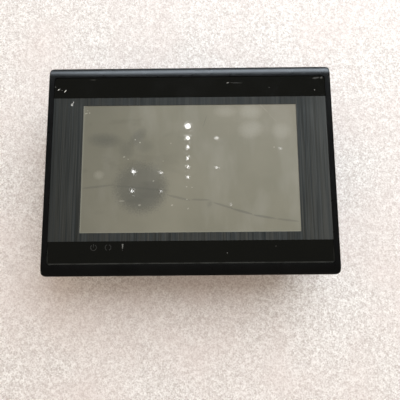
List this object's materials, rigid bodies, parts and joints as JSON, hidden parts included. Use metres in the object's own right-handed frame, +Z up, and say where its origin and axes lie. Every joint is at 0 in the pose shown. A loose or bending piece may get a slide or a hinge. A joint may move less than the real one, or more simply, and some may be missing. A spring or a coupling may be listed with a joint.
{
  "type": "operator touch panel",
  "caption": "Panel-mount operator touch screen: flanged front with printed film, stepped rear housing with screw power terminal, serial, network and USB ports.",
  "frame": {"origin": "centre of the panel cut-out, on the rear face of the flange gasket, where it meets the cabinet door", "axes": "+X to the right along the long side, +Y into the cabinet, +Z up; the screen faces -Y"},
  "size_m": [0.204, 0.048, 0.15],
  "materials": {
    "bezel_plastic": "fine satin, slightly glossy on the rounded edges",
    "overlay_film": "printed polyester film, gloss black bands and a brushed charcoal zone",
    "touch_glass": "anti-glare touch surface",
    "screen_glass": "dark, switched off",
    "white_plastic": "moulded",
    "foam": "closed-cell foam",
    "gasket_rubber": "soft silicone",
    "flex_film": "amber polyimide",
    "zinc_sheet": "zinc-plated",
    "screw_steel": "zinc-plated",
    "black_screw": "black oxide",
    "brass": "nickel-plated",
    "gold_contact": "gold flash",
    "clear_plastic": "water-clear",
    "board_green": "solder mask",
    "chip_black": "moulded epoxy",
    "coil_grey": "ferrite",
    "can_aluminium": "drawn can",
    "cell_steel": "bright",
    "black_plastic": "moulded",
    "terminal_green": "moulded",
    "shell_steel": "nickel-plated, folded or drawn",
    "dip_blue": "moulded",
    "cover_plastic": "fine spark texture",
    "label_film": "blank satin film"
  },
  "bodies": {
    "panel_unit": {"front_bezel": "bezel_plastic", "front_overlay": "overlay_film", "touch_panel": "touch_glass", "touch_seal": "foam", "touch_tail": "flex_film", "lcd_panel": "screen_glass", "lcd_housing": "zinc_sheet", "lcd_ribbon": "flex_film", "lcd_connector": "white_plastic", "touch_connector": "white_plastic", "chassis_plate": "zinc_sheet", "chassis_screws": "screw_steel", "flange_gasket": "gasket_rubber", "indicator_light_pipes": "clear_plastic", "indicator_board": "board_green", "indicator_leds": "white_plastic", "board_standoffs": "brass", "main_board": "board_green", "board_screws": "screw_steel", "processor": "chip_black", "memory_chips": "chip_black", "power_inductor": "coil_grey", "electrolytic_capacitors": "can_aluminium", "coin_cell_holder": "white_plastic", "coin_cell": "cell_steel", "buzzer": "black_plastic", "small_components": "coil_grey", "power_terminal": "terminal_green", "serial_port_a": "shell_steel", "serial_port_a_insert": "black_plastic", "serial_port_b": "shell_steel", "serial_port_b_insert": "black_plastic", "serial_port_b_pins": "gold_contact", "serial_jack_posts": "screw_steel", "ethernet_jack": "shell_steel", "ethernet_jack_insert": "black_plastic", "ethernet_contacts": "gold_contact", "usb_host_port": "shell_steel", "usb_host_tongue": "white_plastic", "usb_device_port": "shell_steel", "usb_device_core": "white_plastic", "dip_switch_body": "dip_blue", "reset_switch": "black_plastic", "rear_cover": "cover_plastic", "rear_cover_screws": "black_screw", "rating_label": "label_film"},
    "terminal_screw_1": {"terminal_screw_1": "screw_steel"},
    "wire_clamp_1": {"wire_clamp_1": "brass"},
    "terminal_screw_2": {"terminal_screw_2": "screw_steel"},
    "wire_clamp_2": {"wire_clamp_2": "brass"},
    "terminal_screw_3": {"terminal_screw_3": "screw_steel"},
    "wire_clamp_3": {"wire_clamp_3": "brass"},
    "dip_slider_1": {"dip_slider_1": "white_plastic"},
    "dip_slider_2": {"dip_slider_2": "white_plastic"},
    "dip_slider_3": {"dip_slider_3": "white_plastic"},
    "dip_slider_4": {"dip_slider_4": "white_plastic"},
    "reset_button": {"reset_button": "black_plastic"}
  },
  "joints": [
    {"name": "terminal_screw_1_turn", "type": "hinge", "parent": "panel_unit", "child": "terminal_screw_1", "pos_m": [-0.07908, 0.029, -0.0532], "axis": [0, -1, 0], "range_deg": [0, 1080]},
    {"name": "wire_clamp_1_rise", "type": "slide", "parent": "panel_unit", "child": "wire_clamp_1", "axis": [0, 1, 0], "range_m": [0, 0.0015]},
    {"name": "terminal_screw_2_turn", "type": "hinge", "parent": "panel_unit", "child": "terminal_screw_2", "pos_m": [-0.074, 0.029, -0.0532], "axis": [0, -1, 0], "range_deg": [0, 1080]},
    {"name": "wire_clamp_2_rise", "type": "slide", "parent": "panel_unit", "child": "wire_clamp_2", "axis": [0, 1, 0], "range_m": [0, 0.0015]},
    {"name": "terminal_screw_3_turn", "type": "hinge", "parent": "panel_unit", "child": "terminal_screw_3", "pos_m": [-0.06892, 0.029, -0.0532], "axis": [0, -1, 0], "range_deg": [0, 1080]},
    {"name": "wire_clamp_3_rise", "type": "slide", "parent": "panel_unit", "child": "wire_clamp_3", "axis": [0, 1, 0], "range_m": [0, 0.0015]},
    {"name": "dip_slider_1_set", "type": "slide", "parent": "panel_unit", "child": "dip_slider_1", "axis": [0, 1, 0], "range_m": [0, 0.0021]},
    {"name": "dip_slider_2_set", "type": "slide", "parent": "panel_unit", "child": "dip_slider_2", "axis": [0, 1, 0], "range_m": [0, 0.0021]},
    {"name": "dip_slider_3_set", "type": "slide", "parent": "panel_unit", "child": "dip_slider_3", "axis": [0, 1, 0], "range_m": [0, 0.0021]},
    {"name": "dip_slider_4_set", "type": "slide", "parent": "panel_unit", "child": "dip_slider_4", "axis": [0, 1, 0], "range_m": [0, 0.0021]},
    {"name": "reset_button_press", "type": "slide", "parent": "panel_unit", "child": "reset_button", "axis": [0, 0, 1], "range_m": [0, 0.0005], "stiffness_N_per_m": 2000}
  ],
  "couplings": [
    {"joint": "terminal_screw_1_turn", "follows": "wire_clamp_1_rise", "rad_per_m": 12566},
    {"joint": "terminal_screw_2_turn", "follows": "wire_clamp_2_rise", "rad_per_m": 12566},
    {"joint": "terminal_screw_3_turn", "follows": "wire_clamp_3_rise", "rad_per_m": 12566}
  ]
}
